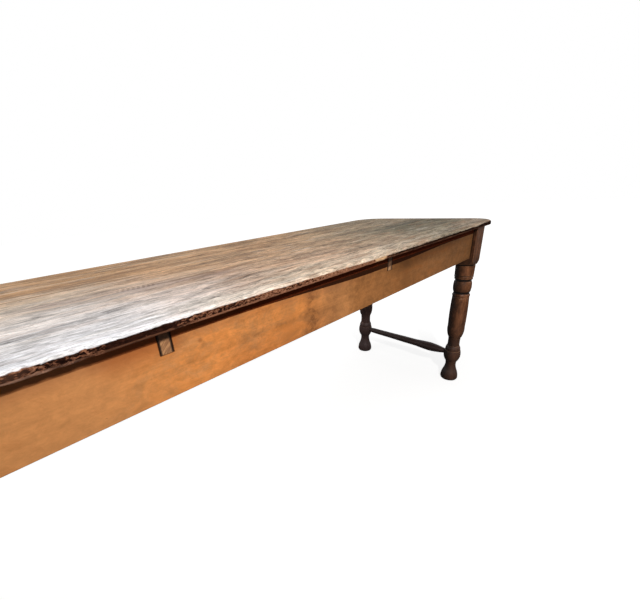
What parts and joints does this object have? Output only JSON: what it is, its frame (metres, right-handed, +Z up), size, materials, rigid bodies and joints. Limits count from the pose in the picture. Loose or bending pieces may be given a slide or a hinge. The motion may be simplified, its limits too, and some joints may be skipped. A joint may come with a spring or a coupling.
{
  "type": "farmhouse table",
  "caption": "Long plank-topped dining table with worn round edges, on pegged aprons and turned legs, with a low turned stretcher at each end.",
  "frame": {"origin": "on the floor, under the middle of the top", "axes": "+X along the table to the right, +Y across it to the back, +Z up"},
  "size_m": [2.23, 0.66, 0.775],
  "materials": {
    "scrubbed_top": "scrubbed, worn and grey-brown",
    "honey_pine": "old honey-coloured finish, satin",
    "dark_turned_wood": "dark stain, worn, satin",
    "bearer_wood": "bare, sawn",
    "peg_wood": "dark, worn",
    "dull_iron": "dull, aged"
  },
  "bodies": {
    "root": {"top_board_1": "scrubbed_top", "top_board_2": "scrubbed_top", "top_board_3": "scrubbed_top", "top_board_4": "scrubbed_top", "front_apron": "honey_pine", "back_apron": "honey_pine", "left_end_apron": "honey_pine", "right_end_apron": "honey_pine", "front_left_leg": "dark_turned_wood", "front_right_leg": "dark_turned_wood", "back_left_leg": "dark_turned_wood", "back_right_leg": "dark_turned_wood", "left_end_stretcher": "dark_turned_wood", "right_end_stretcher": "dark_turned_wood", "left_bearer": "bearer_wood", "right_bearer": "bearer_wood", "apron_pegs": "peg_wood", "stretcher_pegs": "peg_wood", "bearer_screws": "dull_iron", "glue_blocks": "bearer_wood"}
  },
  "joints": []
}
